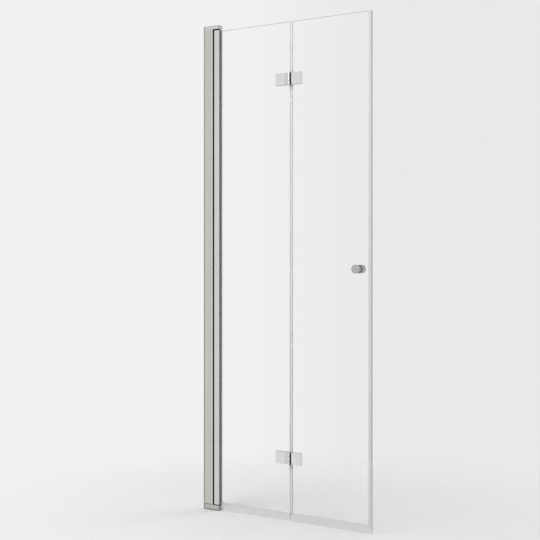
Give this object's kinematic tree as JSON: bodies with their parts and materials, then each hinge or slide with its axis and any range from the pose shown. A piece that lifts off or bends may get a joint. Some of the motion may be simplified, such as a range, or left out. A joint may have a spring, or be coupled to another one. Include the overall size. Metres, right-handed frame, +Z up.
{
  "type": "bifold shower door",
  "caption": "Rail-less bifold shower door: a clear glass wall panel turns on a wall post and a second panel folds flat against it on glass-to-glass hinges.",
  "frame": {"origin": "on the wall at floor level, in the middle plane of the glass: the foot of the wall mounting face", "axes": "+X from the wall across the opening, +Y into the shower, +Z up; the outer side with the hinge barrels faces -Y"},
  "size_m": [0.786, 0.058, 2],
  "materials": {
    "anodised_channel": "satin anodised",
    "anodised_bright": "bright satin anodised",
    "black_rubber": "extruded soft black",
    "grey_rubber": "extruded soft grey",
    "bush_plastic": "moulded",
    "clear_glass": "polished safety glass",
    "clear_seal": "translucent extruded",
    "clear_pad": "translucent sheet",
    "chrome": "polished",
    "steel": "turned"
  },
  "bodies": {
    "post": {"wall_channel": "anodised_channel", "hinge_post": "anodised_bright", "post_clamp_screws": "steel", "post_seal": "black_rubber", "cap_bracket": "anodised_bright", "foot_bracket": "anodised_channel", "cap_screws": "steel", "foot_screws": "steel", "upper_pivot_pin": "steel", "lower_pivot_pin": "steel", "wall_strips": "grey_rubber", "channel_end_pad": "black_rubber", "foot_strip": "black_rubber"},
    "wall_panel": {"pivot_profile": "anodised_bright", "glazing_gasket": "black_rubber", "upper_pivot_bush": "bush_plastic", "lower_pivot_bush": "bush_plastic", "wall_glass": "clear_glass", "wall_bottom_seal": "clear_seal", "wall_seam_seal": "clear_seal", "lower_wall_leaf": "chrome", "lower_wall_pads": "clear_pad", "lower_wall_clamp": "chrome", "lower_wall_screws": "steel", "lower_hinge_pin": "steel", "upper_wall_leaf": "chrome", "upper_wall_pads": "clear_pad", "upper_wall_clamp": "chrome", "upper_wall_screws": "steel", "upper_hinge_pin": "steel"},
    "lead_panel": {"lead_glass": "clear_glass", "lead_bottom_seal": "clear_seal", "lead_seam_seal": "clear_seal", "leading_edge_seal": "clear_seal", "lower_lead_leaf": "chrome", "lower_lead_pads": "clear_pad", "lower_lead_clamp": "chrome", "lower_lead_screws": "steel", "lower_hinge_bushes": "bush_plastic", "upper_lead_leaf": "chrome", "upper_lead_pads": "clear_pad", "upper_lead_clamp": "chrome", "upper_lead_screws": "steel", "upper_hinge_bushes": "bush_plastic", "outer_knob": "chrome", "inner_knob": "chrome", "knob_stud": "steel", "knob_washers": "black_rubber"}
  },
  "joints": [
    {"name": "wall_pivot", "type": "hinge", "parent": "post", "child": "wall_panel", "pos_m": [0.0615, 0, 0], "axis": [0, 0, 1], "range_deg": [0, 90]},
    {"name": "fold", "type": "hinge", "parent": "wall_panel", "child": "lead_panel", "pos_m": [0.422, -0.0145, 0], "axis": [0, 0, -1], "range_deg": [0, 175]}
  ]
}
